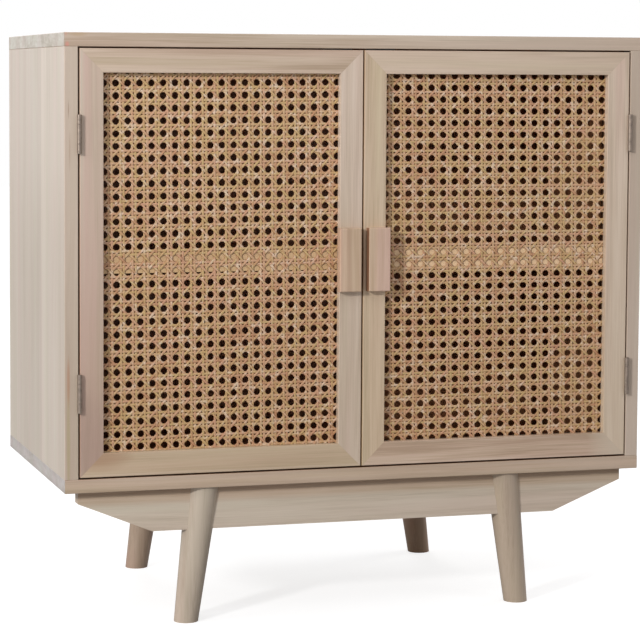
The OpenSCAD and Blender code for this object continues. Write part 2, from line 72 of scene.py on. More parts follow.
class Nodes:
    """A node tree that is filled by short calls."""

    def __init__(self, tree):
        self.tree = tree
        tree.nodes.clear()

    def feed(self, socket, value):
        """Links a socket, or sets a plain value, on an input."""
        if isinstance(value, bpy.types.NodeSocket):
            self.tree.links.new(value, socket)
        else:
            socket.default_value = value

    def add(self, kind, inputs=(), **props):
        """Puts in a node with its settings and inputs, and returns it."""
        node = self.tree.nodes.new("ShaderNode" + kind)
        for key, value in props.items():
            setattr(node, key, value)
        for key, value in dict(inputs).items():
            self.feed(node.inputs[key], value)
        return node

    def math(self, op, a, b=0.0):
        return self.add("Math", {0: a, 1: b}, operation=op).outputs[0]

    def plus(self, a, b):
        return self.math("ADD", a, b)

    def minus(self, a, b):
        return self.math("SUBTRACT", a, b)

    def times(self, a, b):
        return self.math("MULTIPLY", a, b)

    def squares(self, a, b):
        """Sum of two squares."""
        return self.plus(self.times(a, a), self.times(b, b))

    def centred(self, noise):
        """A noise that swings round zero."""
        return self.minus(noise, HALF)

    def map_range(self, value, low, high, to_low=0.0, to_high=1.0):
        node = self.add("MapRange", {0: value, 1: low, 2: high, 3: to_low, 4: to_high})
        return node.outputs[0]

    def mix_shaders(self, factor, a, b):
        return self.add("MixShader", {0: factor, 1: a.outputs[0], 2: b.outputs[0]})


class Shader(Nodes):
    """A material with one principled shader."""

    def __init__(self, name):
        self.mat = bpy.data.materials.new(name)
        self.mat.use_nodes = True
        super().__init__(self.mat.node_tree)
        self.out = self.add("OutputMaterial")
        self.bsdf = self.add("BsdfPrincipled")
        self.surface(self.bsdf)

    def surface(self, node):
        """Makes the node's shader the surface."""
        self.feed(self.out.inputs["Surface"], node.outputs[0])

    def put(self, key, value):
        """Sets an input of the principled shader."""
        self.feed(self.bsdf.inputs[key], value)

    def object_xyz(self):
        """Object coordinates, together and one by one."""
        coord = self.add("TexCoord").outputs["Object"]
        return coord, self.add("SeparateXYZ", {0: coord}).outputs

    def vector(self, x, y, z):
        return self.add("CombineXYZ", {0: x, 1: y, 2: z}).outputs[0]

    def noise(self, place, scale, detail, rough=0.5, shift=(0, 0, 0)):
        """Noise with a scale for each axis, per metre."""
        scaled = self.add("Mapping", {"Vector": place, "Scale": scale, "Location": shift}).outputs[0]
        node = self.add("TexNoise", {"Vector": scaled, "Scale": 1.0, "Detail": detail, "Roughness": rough})
        return node.outputs[0]

    def noise_1d(self, place, detail, rough):
        node = self.add("TexNoise", {"W": place, "Scale": 1.0, "Detail": detail, "Roughness": rough},
                        noise_dimensions="1D")
        return node.outputs[0]

    def ramp(self, factor, stops, smooth=True):
        """Colour ramp with (place, colour) stops."""
        node = self.add("ValToRGB", {"Fac": factor})
        node.color_ramp.interpolation = "LINEAR" if smooth else "CONSTANT"
        elements = node.color_ramp.elements
        elements.remove(elements[1])
        elements[0].position = stops[0][0]
        elements[0].color = stops[0][1]
        for place, colour in stops[1:]:
            elements.new(place).color = colour
        return node.outputs[0]

    def mix(self, factor, a, b, blend="MIX"):
        node = self.add("Mix", {"Factor": factor}, data_type="RGBA", blend_type=blend)
        colours = [socket for socket in node.inputs if socket.type == "RGBA"]
        for socket, value in zip(colours, (a, b)):
            self.feed(socket, value)
        return [socket for socket in node.outputs if socket.type == "RGBA"][0]

    def tinted(self, colour, tint):
        return self.mix(1.0, colour, (*tint, 1.0), "MULTIPLY")

    def bump(self, height, strength, distance):
        node = self.add("Bump", {"Height": height, "Strength": strength, "Distance": distance})
        self.put("Normal", node.outputs[0])


# Places in the CAD frame. SKIN is how deep a face's own tint goes, and behind THROAT_Y is the
# inside of the cabinet.

SKIN = 0.0003
THROAT_Y = -0.172
BODY_LOW, BODY_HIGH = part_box("top_panel")
SHELL_LOW, SHELL_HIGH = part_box("bottom_panel")
SIDE_LOW, SIDE_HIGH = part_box("left_side_panel")
APRON_LOW, APRON_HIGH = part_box("front_apron")
STILE_LOW, STILE_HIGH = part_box("left_hinge_stile")
FRAME_W = STILE_HIGH.x - STILE_LOW.x
MARK_DEPTH = BODY_LOW.y + SKIN
SLAB_END = BODY_HIGH.x - SKIN
INNER_X = SIDE_HIGH.x - SKIN


def door_frame(side):
    """Middle and half size of a door, in x and z."""
    low_a, high_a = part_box(side + "_hinge_stile")
    low_b, high_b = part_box(side + "_meeting_stile")
    x0, x1 = min(low_a.x, low_b.x), max(high_a.x, high_b.x)
    z0, z1 = low_a.z, high_a.z
    return (x0 + x1) / 2, (z0 + z1) / 2, (x1 - x0) / 2, (z1 - z0) / 2


DOORS = {side: door_frame(side) for side in SIDES}

# Whitewashed oak. Each palette is dark grain, middle, light, then a pink and a green-beige tint.

PALETTES = {
    "oak": [srgb(178, 158, 136), srgb(200, 181, 161), srgb(212, 196, 178),
            srgb(204, 176, 161), srgb(196, 184, 156)],
    "apron": [srgb(182, 165, 143), srgb(207, 191, 172), srgb(218, 205, 187),
              srgb(210, 186, 170), srgb(201, 190, 168)],
    "leg": [srgb(168, 150, 130), srgb(194, 177, 158), srgb(208, 192, 173),
            srgb(198, 169, 154), srgb(188, 175, 150)],
    "handle": [srgb(182, 150, 120), srgb(202, 174, 147), srgb(218, 193, 166),
               srgb(208, 168, 148), srgb(196, 176, 142)],
    "batten": [srgb(202, 164, 122), srgb(224, 186, 146), srgb(234, 200, 162),
               srgb(226, 180, 146), srgb(220, 188, 140)],
    "inside": [srgb(146, 98, 62), srgb(175, 122, 84), srgb(192, 138, 98),
               srgb(182, 118, 84), srgb(164, 122, 78)],
    "beech": [srgb(176, 138, 98), srgb(200, 164, 124), srgb(214, 180, 140),
              srgb(204, 158, 128), srgb(196, 166, 120)],
}
# Which coordinates go along the grain, across it and into the wood
AXES = {"x": (0, 2, 1), "z": (2, 0, 1)}
# A piece is cut anywhere along the tree, off its pith and a little askew
SHIFT_RANGE = (3.0, 9.0)
PITH_RANGE = (0.06, 0.16)
SLOPE_LIMIT = 0.035
# The grain wanders sideways by this much
WANDER_SCALE, WANDER_DETAIL = (2.6, 9.0, 9.0), 2.0
WANDER_WIDTH = 0.022
RINGS_PER_M, RING_DETAIL, RING_ROUGH = 210.0, 3.0, 0.7
# Noises of the oak: whether one wanders with the grain, and its scale, detail, roughness and shift
OAK_NOISES = {
    "streaks": (True, (4.0, 105.0, 105.0), 4.0, 0.6, (0, 0, 0)),
    "bands": (True, (1.8, 30.0, 30.0), 2.0, 0.5, (0, 0, 0)),
    "fibres": (False, (14.0, 1100.0, 1100.0), 1.0, 0.5, (0, 0, 0)),
    "hue": (True, (1.3, 38.0, 38.0), 2.0, 0.5, (0, 4.7, 2.3)),
    "pores": (False, (70.0, 1500.0, 1500.0), 0.0, 0.5, (0, 1.3, 8.1)),
}
# How much each noise moves the tone, and the tones of the palette's first three colours
TONE_SHARES = {"rings": 0.16, "streaks": 0.70, "bands": 0.85, "fibres": 0.42}
TONE_DARK, TONE_MIDDLE, TONE_LIGHT = 0.18, 0.5, 0.85
# Where a tint or a pore starts and is full, in the values of its noise
PINK_RANGE, GREEN_RANGE = (0.50, 0.66), (0.46, 0.32)
PORE_RANGE, PORE_RINGS, PORE_SHARE = (0.70, 0.78), (0.5, 0.35), 0.28
# The whitewash and its satin coat
COAT_SHARE, COAT_ROUGH = 0.28, 0.25
OAK_SPECULAR = 0.5
RING_RANGE, OAK_ROUGH = (0.3, 0.7), (0.47, 0.38)
STREAK_RELIEF, OAK_BUMP, OAK_BUMP_M = 0.6, 0.16, 0.0004
# Mitre lines of a door: where one starts to fade and is gone, in metres, and how dark it is
MITRE_NEAR, MITRE_FAR, MITRE_DARK = 0.0003, 0.00066, 0.22


def past(axis, place, sign, tint):
    """Zone on one side of a plane: above it for sign 1 and below it for sign -1."""
    return [(axis, place, sign)], tint


def within(axis, low, high, tint):
    """Zone between two planes."""
    return [(axis, low, 1), (axis, high, -1)], tint


def inside(axis, place, sign):
    """Zone of a face inside the cabinet, behind the doors."""
    return [(axis, place, sign), ("y", THROAT_Y, 1)], INSIDE_TINT


def grain_layers(s, xyz, grain, rnd):
    """The noises of a piece of oak, by name."""
    along, across, depth = (xyz[i] for i in AXES[grain])
    moved = s.plus(along, rnd.uniform(*SHIFT_RANGE))
    straight = s.vector(moved, across, depth)
    wander = s.noise(straight, WANDER_SCALE, WANDER_DETAIL)
    bent = s.plus(across, s.times(s.centred(wander), WANDER_WIDTH))
    pith = rnd.uniform(*PITH_RANGE) * rnd.choice((-1, 1))
    slope = rnd.uniform(-SLOPE_LIMIT, SLOPE_LIMIT)
    from_pith = s.squares(s.minus(bent, pith), s.plus(depth, s.times(along, slope)))
    radius = s.math("SQRT", from_pith)
    layers = {"rings": s.noise_1d(s.times(radius, RINGS_PER_M), RING_DETAIL, RING_ROUGH)}
    wandering = s.vector(moved, bent, depth)
    for name, (wanders, *look) in OAK_NOISES.items():
        layers[name] = s.noise(wandering if wanders else straight, *look)
    return layers


def board_tints(s, colour, xyz, boards, soft):
    """Gives each glued board or band its tint."""
    axis, low, high, parts = boards
    stops = []
    at = 0.0
    for share, tint in parts:
        tint = tint if isinstance(tint, tuple) else even(tint)
        if stops and soft:
            stops.append((at - soft / 2, stops[-1][1]))
        stops.append((at + (soft / 2 if stops else 0.0), (*tint, 1.0)))
        at += share
    place = s.map_range(xyz["xyz".index(axis)], low, high)
    return s.mix(1.0, colour, s.ramp(place, stops, smooth=bool(soft)), "MULTIPLY")


def mitre_lines(s, colour, xyz, door, dark):
    """Draws a fine line where two members of a door's frame meet at 45 degrees."""
    middle_x, middle_z, half_x, half_z = door
    from_side = s.minus(s.math("ABSOLUTE", s.minus(xyz[0], middle_x)), half_x)
    from_end = s.minus(s.math("ABSOLUTE", s.minus(xyz[2], middle_z)), half_z)
    off = s.math("ABSOLUTE", s.minus(from_side, from_end))
    return s.mix(s.map_range(off, MITRE_NEAR, MITRE_FAR, MITRE_DARK, 0.0), colour, dark)


def zone_tint(s, colour, xyz, zone):
    """Tints what lies on the zone's side of each of its planes."""
    planes, tint = zone
    mask = 1.0
    for axis, place, sign in planes:
        compare = "GREATER_THAN" if sign > 0 else "LESS_THAN"
        mask = s.times(mask, s.math(compare, xyz["xyz".index(axis)], place))
    return s.mix(mask, colour, s.tinted(colour, tint))


def stain(s, colour, xyz, mark, streaks):
    """Puts a soft stain on the front, with a border that the streaks break up."""
    mark_x, mark_z, half_x, half_z, mark_colour, strength = mark
    dx = s.math("DIVIDE", s.minus(xyz[0], mark_x), half_x)
    dz = s.math("DIVIDE", s.minus(xyz[2], mark_z), half_z)
    reach = s.plus(s.squares(dx, dz), s.centred(streaks))
    amount = s.times(s.map_range(reach, 0.0, 1.0, strength, 0.0), s.math("LESS_THAN", xyz[1], MARK_DEPTH))
    return s.mix(amount, colour, mark_colour)


def wood(name, palette, grain, seed, pink=0.35, green=0.35, contrast=1.0, gloss=1.0, tint=None,
         boards=None, soft=0.0, door=None, zones=(), marks=()):
    """Straight-grained oak along one axis, with growth rings, streaks, fibres, pores and tints.

    pink and green are the shares of the palette's last two tints.
    gloss is the strength of the coat, and tint multiplies the whole colour.
    boards is (axis, low, high, [(share, tint), ...]): glued boards or bands, each with its own
    tint, over the given range, some bands being painted shade; soft is the width of the change
    between them, as a share.
    door is the middle and half size of a door, for the fine lines of its mitres.
    zones are parts of the piece with a tint of their own, from past(), within() or inside();
    many of them are painted shade, painted highlight or painted sheen.
    marks are soft stains (x, z, half width, half height, colour, strength) on the front."""
    dark, middle, light, pinkish, greenish = PALETTES[palette]
    s = Shader(name)
    _, xyz = s.object_xyz()
    layers = grain_layers(s, xyz, grain, random.Random(seed))
    tone = TONE_MIDDLE
    for layer, share in TONE_SHARES.items():
        tone = s.plus(tone, s.times(s.centred(layers[layer]), share * contrast))
    colour = s.ramp(tone, [(TONE_DARK, dark), (TONE_MIDDLE, middle), (TONE_LIGHT, light)])
    colour = s.mix(s.map_range(layers["hue"], *PINK_RANGE, 0.0, pink), colour, pinkish)
    colour = s.mix(s.map_range(layers["hue"], *GREEN_RANGE, 0.0, green), colour, greenish)
    pores = s.times(s.map_range(layers["pores"], *PORE_RANGE), s.map_range(layers["rings"], *PORE_RINGS))
    colour = s.mix(s.times(pores, PORE_SHARE), colour, dark)
    if boards:
        colour = board_tints(s, colour, xyz, boards, soft)
    if door:
        colour = mitre_lines(s, colour, xyz, door, dark)
    for zone in zones:
        colour = zone_tint(s, colour, xyz, zone)
    for mark in marks:
        colour = stain(s, colour, xyz, mark, layers["streaks"])
    if tint:
        colour = s.tinted(colour, tint)

    s.put("Base Color", colour)
    s.put("Coat Weight", COAT_SHARE * gloss)
    s.put("Coat Roughness", COAT_ROUGH)
    s.put("Roughness", s.map_range(layers["rings"], *RING_RANGE, *OAK_ROUGH))
    s.put("Specular IOR Level", OAK_SPECULAR * gloss)
    s.bump(s.plus(layers["fibres"], s.times(layers["streaks"], STREAK_RELIEF)), OAK_BUMP, OAK_BUMP_M)
    return s.mat


# Satin nickel: scales of the brushing and the wear, and their ranges

BRUSH_SCALE, BRUSH_DETAIL, BRUSH_RANGE = (2600.0, 2600.0, 300.0), 2.0, (0.3, 0.7)
WEAR_SCALE, WEAR_DETAIL, WEAR_RANGE = even(180.0), 3.0, (0.3, 0.6)
NICKEL = srgb(148, 134, 123)
NICKEL_ROUGH = (0.44, 0.58)
WORN_SHARE = 0.72
BRUSH_BUMP, BRUSH_BUMP_M = 0.15, 0.00005


def satin_nickel():
    """Satin plate with fine brushing and a little wear."""
    s = Shader("satin_nickel")
    coord, _ = s.object_xyz()
    brush = s.noise(coord, BRUSH_SCALE, BRUSH_DETAIL)
    worn = s.noise(coord, WEAR_SCALE, WEAR_DETAIL)
    s.put("Base Color", s.ramp(worn, list(zip(WEAR_RANGE, (shade(NICKEL, WORN_SHARE), NICKEL)))))
    s.put("Metallic", 1.0)
    s.put("Roughness", s.map_range(brush, *BRUSH_RANGE, *NICKEL_ROUGH))
    s.bump(brush, BRUSH_BUMP, BRUSH_BUMP_M)
    return s.mat


# Plastic of the catches: scales of the grit and the dust

GRIT_SCALE, GRIT_DETAIL = even(2200.0), 2.0
DUST_SCALE, DUST_DETAIL, DUST_RANGE = even(60.0), 3.0, (0.35, 0.65)
PLASTIC = srgb(216, 212, 204)
PLASTIC_ROUGH = 0.5
DUSTY_SHARE = 0.88
GRIT_BUMP, GRIT_BUMP_M = 0.1, 0.00005


def catch_plastic():
    """Moulded plastic with a faint texture."""
    s = Shader("catch_plastic")
    coord, _ = s.object_xyz()
    grit = s.noise(coord, GRIT_SCALE, GRIT_DETAIL)
    dust = s.noise(coord, DUST_SCALE, DUST_DETAIL)
    s.put("Base Color", s.ramp(dust, list(zip(DUST_RANGE, (shade(PLASTIC, DUSTY_SHARE), PLASTIC)))))
    s.put("Roughness", PLASTIC_ROUGH)
    s.bump(grit, GRIT_BUMP, GRIT_BUMP_M)
    return s.mat


# Cane: the strands' hues, their dark spots, their pale spots that are partly painted highlight, their
# sides, painted shade towards the floor, and the light that comes through them

MOTTLE_SCALE, MOTTLE_DETAIL = even(150.0), 3.0
PATCH_SCALE, PATCH_DETAIL = even(55.0), 2.0
STRAND_SHARE, PATCH_SHARE = 0.5, 0.6
CANE_STOPS = [(0.26, srgb(220, 172, 139)), (0.42, srgb(225, 185, 147)),
              (0.60, srgb(218, 188, 132)), (0.78, srgb(209, 161, 124))]
DARK_RANGE, DARK_SHARE, DARK_SPOT = (0.58, 0.74), 0.40, srgb(186, 130, 86)
# Pale spots on the strands: partly the cane's own mottling, partly painted highlight.
SPOT_AND_HIGHLIGHT_RANGE, SPOT_AND_HIGHLIGHT_SHARE, PALE_SPOT_AND_HIGHLIGHT = (0.46, 0.32), 0.75, srgb(250, 228, 202)
SIDE_SHARE, SIDE_COLOUR = 0.58, srgb(150, 80, 32)
# Painted shade: the cane darker towards the floor, between these heights.
SHADE_TOP, SHADE_LOW = 0.68, 0.24
LOW_SHADE_TINT = (0.91, 0.88, 0.84)
CANE_RANGE, CANE_ROUGH, CANE_SPECULAR = (0.3, 0.7), (0.34, 0.5), 0.5
CANE_BUMP, CANE_BUMP_M = 0.2, 0.0003
THROUGH_SHARE, THROUGH_COLOUR = 0.17, srgb(224, 118, 52)


def cane_material():
    """Split cane: a tint for each strand, mottled along it, with a glossy skin, painted highlights and
    painted shade towards the floor.
    """
    s = Shader("cane_weave")
    coord, xyz = s.object_xyz()
    tint = s.add("Attribute", attribute_name="tint").outputs["Fac"]
    side = s.add("Attribute", attribute_name="edge").outputs["Fac"]
    mottle = s.noise(coord, MOTTLE_SCALE, MOTTLE_DETAIL)
    patch = s.noise(coord, PATCH_SCALE, PATCH_DETAIL)
    colour = s.ramp(s.plus(s.times(tint, STRAND_SHARE), s.times(patch, PATCH_SHARE)), CANE_STOPS)
    colour = s.mix(s.times(s.map_range(mottle, *DARK_RANGE), DARK_SHARE), colour, DARK_SPOT)
    # Pale spots, partly painted highlight.
    colour = s.mix(s.map_range(mottle, *SPOT_AND_HIGHLIGHT_RANGE, 0.0, SPOT_AND_HIGHLIGHT_SHARE), colour, PALE_SPOT_AND_HIGHLIGHT)
    colour = s.mix(s.times(side, SIDE_SHARE), colour, SIDE_COLOUR)
    # Painted shade towards the floor.
    colour = s.mix(s.map_range(xyz[2], SHADE_TOP, SHADE_LOW), colour, s.tinted(colour, LOW_SHADE_TINT))
    s.put("Base Color", colour)
    s.put("Roughness", s.map_range(mottle, *CANE_RANGE, *CANE_ROUGH))
    s.put("Specular IOR Level", CANE_SPECULAR)
    s.bump(mottle, CANE_BUMP, CANE_BUMP_M)
    through = s.add("BsdfTranslucent", {"Color": THROUGH_COLOUR})
    s.surface(s.mix_shaders(THROUGH_SHARE, s.bsdf, through))
    return s.mat


# Tints of the faces, most of them painted light, shade or sheen. A tint is red, green and blue, and
# multiplies the colour of the wood.

INSIDE_TINT = (0.74, 0.42, 0.25)
# Painted sheen and painted light: the end faces of the panels and the outer faces of the sides are paler
# and bluer, as the white surroundings mirrored at a grazing view and the light from the left make them.
END_SHEEN_TINT = (0.85, 0.965, 1.08)
BOTTOM_END_SHEEN_TINT = (0.90, 1.09, 1.37)
SIDE_SHEEN_TINT = (1.03, 1.11, 1.21)
# Painted light: the front edges of the sides lighter.
FRONT_EDGE_LIGHT_TINT = (1.08, 1.09, 1.13)
# Painted shade: the beads' faces round each opening, seen through the cane, nearly black.
RECESS_SHADE_TINT = (0.16, 0.09, 0.05)
# Painted shade: the strip of the bottom panel's top in the gap under the doors.
LIP_SHADE_TINT = (0.32, 0.20, 0.12)
# Painted shade: the stiles' outer edges in the gaps round the doors, on the hinge side and the meeting
# side.
HINGE_EDGE_SHADE_TINT = (0.82, 0.66, 0.52)
MEETING_EDGE_SHADE_TINT = (0.84, 0.74, 0.60)
# Painted shade: each handle's side that faces the other handle.
HANDLE_SIDE_SHADE_TINT = (0.44, 0.28, 0.20)

# Pieces of the cabinet: their boards and bands, the zones of their faces and their marks


def both_ends(tint):
    """Zones of the two end faces of the full width."""
    return [past("x", SLAB_END, 1, tint), past("x", -SLAB_END, -1, tint)]


TOP_BOARDS = ("y", SIDE_LOW.y, SIDE_HIGH.y, [(0.34, 1.0), (0.34, 0.98), (0.32, 1.02)])
# Painted shade: the bottom panel's front darker at its top and lower edges than in its middle.
BOTTOM_SHADE_BANDS = ("z", SHELL_LOW.z, SHELL_HIGH.z, [(0.30, 0.96), (0.40, 1.04), (0.30, 0.97)])
SIDE_BOARDS = ("y", SIDE_LOW.y, SIDE_HIGH.y,
               [(0.10, 0.93), (0.20, 0.945), (0.09, 0.99), (0.19, 0.895), (0.22, 0.92), (0.20, 0.955)])
# Painted shadow: each apron darker at its top, as under the overhang of the bottom panel.
APRON_SHADOW_BANDS = ("z", APRON_LOW.z, APRON_HIGH.z,
               [(0.66, 0.97), (0.18, (0.89, 0.81, 0.74)), (0.16, (0.64, 0.53, 0.44))])
APRON = {"boards": APRON_SHADOW_BANDS, "soft": 0.12, "contrast": 1.2}
# The sides carry painted light on their front edges and painted sheen on their outer faces.
SIDE_FACES = [past("y", SIDE_LOW.y + SKIN, -1, FRONT_EDGE_LIGHT_TINT)] + both_ends(SIDE_SHEEN_TINT)
# Painted shade on the bottom panel's top in the gap under the doors.
BOTTOM_LIP_SHADE = ([("z", SHELL_HIGH.z - SKIN, 1), ("y", THROAT_Y, -1)], LIP_SHADE_TINT)
BACK_INSIDE = past("y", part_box("back_panel")[0].y + SKIN, -1, INSIDE_TINT)
CORNER_MARKS = [(-0.3960, 0.7545, 0.0034, 0.0050, srgb(222, 150, 138), 0.70),
                (-0.3978, 0.7680, 0.0026, 0.0030, srgb(214, 160, 140), 0.50),
                (-0.3820, 0.7675, 0.0140, 0.0035, srgb(190, 160, 124), 0.50),
                (-0.2200, 0.7610, 0.3000, 0.1000, srgb(150, 130, 108), 0.10),
                (0.2400, 0.7610, 0.2600, 0.1000, srgb(240, 226, 212), 0.25)]
EDGE_MARKS = [(-0.3950, 0.2450, 0.0028, 0.0800, srgb(188, 174, 132), 0.55),
              (-0.3950, 0.3250, 0.0022, 0.0350, srgb(190, 140, 112), 0.6),
              (-0.3945, 0.6720, 0.0010, 0.0140, srgb(150, 118, 98), 0.6),
              (-0.3930, 0.6200, 0.0012, 0.0300, srgb(172, 142, 120), 0.5),
              (-0.3910, 0.2500, 0.0200, 0.2700, srgb(140, 118, 98), 0.18)]

# For each wooden piece its palette, the direction of its grain, its own seed and the rest of its look
WOODS = {
    # The end faces of the top and bottom panels carry painted sheen.
    "top_panel": ("oak", "x", 1, {
        "boards": TOP_BOARDS, "tint": (1.025, 1.03, 1.025), "gloss": 0.3, "contrast": 1.6,
        "zones": both_ends(END_SHEEN_TINT) + [inside("z", BODY_LOW.z + SKIN, -1)], "marks": CORNER_MARKS}),
    "bottom_panel": ("oak", "x", 2, {
        "boards": BOTTOM_SHADE_BANDS, "soft": 0.25, "tint": (0.93, 0.87, 0.84), "gloss": 0.3,
        "zones": both_ends(BOTTOM_END_SHEEN_TINT) + [inside("z", SHELL_HIGH.z - SKIN, 1), BOTTOM_LIP_SHADE]}),
    "left_side_panel": ("oak", "z", 3, {
        "boards": SIDE_BOARDS, "contrast": 0.45, "gloss": 0.3,
        "zones": SIDE_FACES + [inside("x", INNER_X, 1)], "marks": EDGE_MARKS}),
    "right_side_panel": ("oak", "z", 4, {
        "boards": SIDE_BOARDS, "contrast": 0.45, "gloss": 0.3,
        "zones": SIDE_FACES + [inside("x", -INNER_X, -1)]}),
    "back_panel": ("oak", "z", 5, {"tint": (0.96, 0.93, 0.89), "zones": [BACK_INSIDE]}),
    "shelf": ("inside", "x", 6, {}),
    "front_apron": ("apron", "x", 7, APRON),
    "rear_apron": ("apron", "x", 8, APRON),
    "front_left_leg": ("leg", "z", 9, {"contrast": 0.8, "tint": (0.97, 0.99, 1.00)}),
    "front_right_leg": ("leg", "z", 10, {"contrast": 0.9, "tint": (0.90, 0.86, 0.83), "pink": 0.7}),
    # The rear legs' darker tints are painted shade, as under the cabinet.
    "rear_left_leg": ("leg", "z", 11, {"tint": (0.78, 0.70, 0.655), "pink": 0.9}),
    "rear_right_leg": ("leg", "z", 12, {"tint": (0.72, 0.58, 0.49), "pink": 0.6}),
}

# Pieces of the doors, for each side: tints of hinge stile, meeting stile, top rail and bottom rail,
# the painted shade that the two stiles have towards their lower end, and the contrast of the grain

# The bottom rails' darker tints are partly painted shade, as the front darkens towards the floor.
FRAME_TINTS = {
    "left": ((1.014, 1.004, 1.02), (1.165, 1.16, 1.20), (1.003, 0.953, 0.924), (0.94, 0.885, 0.77)),
    "right": ((1.205, 1.20, 1.21), (1.09, 1.045, 0.955), (1.13, 1.10, 1.09), (1.00, 0.91, 0.86)),
}
# Painted shade: the stiles darker towards their lower end.
LOWER_SHADE_TINTS = {
    "left": ((0.86, 0.82, 0.785), (0.868, 0.86, 0.82)),
    "right": ((0.88, 0.86, 0.81), (0.955, 0.975, 0.93)),
}
LOWER_SHARE, LOWER_SOFT = 0.45, 0.5
GRAIN_CONTRASTS = {"left": (0.9, 1.0, 1.6, 0.9), "right": (1.3, 1.4, 1.0, 1.8)}
HINGE_STILE_PINK = {"left": 0.8, "right": 0.5}
MEETING_STILE_GREEN = {"left": 0.3, "right": 0.6}
# Soft stains on the hinge stiles and bottom rails, and a painted highlight along the lower edge of the
# bottom rails
STILE_STAINS = {"left": [(-0.3660, 0.2350, 0.0300, 0.0800, srgb(162, 134, 120), 0.60)], "right": []}
RAIL_STAINS = {"left": [(-0.3550, 0.2260, 0.0500, 0.0200, srgb(178, 146, 124), 0.75)],
               "right": [(0.3750, 0.2155, 0.0500, 0.0500, srgb(206, 196, 178), 0.95)]}
RAIL_EDGE_H = 0.0034
RAIL_EDGE_HIGHLIGHT_TINTS = {"left": (1.12, 1.14, 1.22), "right": (1.05, 1.07, 1.10)}
BATTEN_TINTS = {"left": (0.86, 0.84, 0.76), "right": (1.05, 1.05, 1.02)}
HANDLE_BANDS = {
    "left": [(0.12, (0.91, 0.83, 0.84)), (0.20, (0.97, 0.95, 0.95)), (0.22, (0.83, 0.80, 0.78)),
             (0.46, (0.91, 0.91, 0.89))],
    "right": [(0.14, (1.08, 1.08, 1.14)), (0.14, (1.01, 1.00, 1.04)), (0.12, (1.09, 1.08, 1.14)),
              (0.60, (1.05, 1.01, 1.13))],
}
HANDLE_SOFT, HANDLE_CONTRAST = 0.08, 1.1
DOOR_SEEDS = {"left": 30, "right": 40}
HANDLE_SEEDS = {"left": 19, "right": 26}
OUTWARDS = {"left": -1, "right": 1}


def stile(side, lower_shade_tint, edge, more):
    """Look of a stile, with painted shade towards its lower end and on its outer edge."""
    _, middle_z, _, half_z = DOORS[side]
    parts = [(LOWER_SHARE, lower_shade_tint), (1.0 - LOWER_SHARE, 1.0)]
    return {"door": DOORS[side], "boards": ("z", middle_z - half_z, middle_z + half_z, parts),
            "soft": LOWER_SOFT, "zones": [edge], **more}


def handle(side):
    """Look of a handle, with its bands and painted shade on its side towards the other handle."""
    low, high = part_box(side + "_handle")
    # Painted shade on the side that faces the other handle.
    painted_shade = {"left": past("x", high.x - SKIN, 1, HANDLE_SIDE_SHADE_TINT),
              "right": past("x", low.x + SKIN, -1, HANDLE_SIDE_SHADE_TINT)}
    return {"boards": ("x", low.x, high.x, HANDLE_BANDS[side]), "soft": HANDLE_SOFT,
            "contrast": HANDLE_CONTRAST, "zones": [painted_shade[side]]}


def door_woods(side):
    """Adds the wooden pieces of one door to WOODS."""
    seed, out = DOOR_SEEDS[side], OUTWARDS[side]
    middle_x, middle_z, half_x, half_z = DOORS[side]
    hinge_tint, meeting_tint, top_tint, bottom_tint = FRAME_TINTS[side]
    hinge_lower_shade, meeting_lower_shade = LOWER_SHADE_TINTS[side]
    hinge_contrast, meeting_contrast, top_contrast, bottom_contrast = GRAIN_CONTRASTS[side]
    edge_x = half_x - SKIN
    # Painted shade on the stiles' outer edges in the gaps.
    hinge_edge_shade = past("x", middle_x + out * edge_x, out, HINGE_EDGE_SHADE_TINT)
    meeting_edge_shade = past("x", middle_x - out * edge_x, -out, MEETING_EDGE_SHADE_TINT)
    # Painted highlight along the lower edge of the bottom rail.
    rail_edge_highlight = past("z", middle_z - half_z + RAIL_EDGE_H, -1, RAIL_EDGE_HIGHLIGHT_TINTS[side])
    inner_x, inner_z = half_x - FRAME_W + SKIN, half_z - FRAME_W + SKIN
    WOODS[side + "_hinge_stile"] = ("oak", "z", seed, stile(side, hinge_lower_shade, hinge_edge_shade, {
        "tint": hinge_tint, "contrast": hinge_contrast, "pink": HINGE_STILE_PINK[side],
        "marks": STILE_STAINS[side]}))
    WOODS[side + "_meeting_stile"] = ("oak", "z", seed + 1, stile(side, meeting_lower_shade, meeting_edge_shade, {
        "tint": meeting_tint, "contrast": meeting_contrast, "green": MEETING_STILE_GREEN[side]}))
    WOODS[side + "_top_rail"] = ("oak", "x", seed + 2, {
        "door": DOORS[side], "tint": top_tint, "contrast": top_contrast})
    WOODS[side + "_bottom_rail"] = ("oak", "x", seed + 3, {
        "door": DOORS[side], "tint": bottom_tint, "contrast": bottom_contrast,
        "marks": RAIL_STAINS[side], "zones": [rail_edge_highlight]})
    # Painted shade on the beads' faces round the opening, seen through the cane.
    WOODS[side + "_upright_beads"] = ("oak", "z", seed + 4, {
        "zones": [within("x", middle_x - inner_x, middle_x + inner_x, RECESS_SHADE_TINT)]})
    WOODS[side + "_cross_beads"] = ("oak", "x", seed + 5, {
        "zones": [within("z", middle_z - inner_z, middle_z + inner_z, RECESS_SHADE_TINT)]})
    WOODS[side + "_batten"] = ("batten", "x", seed + 6, {"tint": BATTEN_TINTS[side]})
    WOODS[side + "_handle"] = ("handle", "z", HANDLE_SEEDS[side], handle(side))


for side in SIDES:
    door_woods(side)

# Materials of the CAD nodes

BEECH_SEED, BEECH_CONTRAST = 90, 0.7


def paint(obj, mat):
    obj.data.materials.clear()
    obj.data.materials.append(mat)


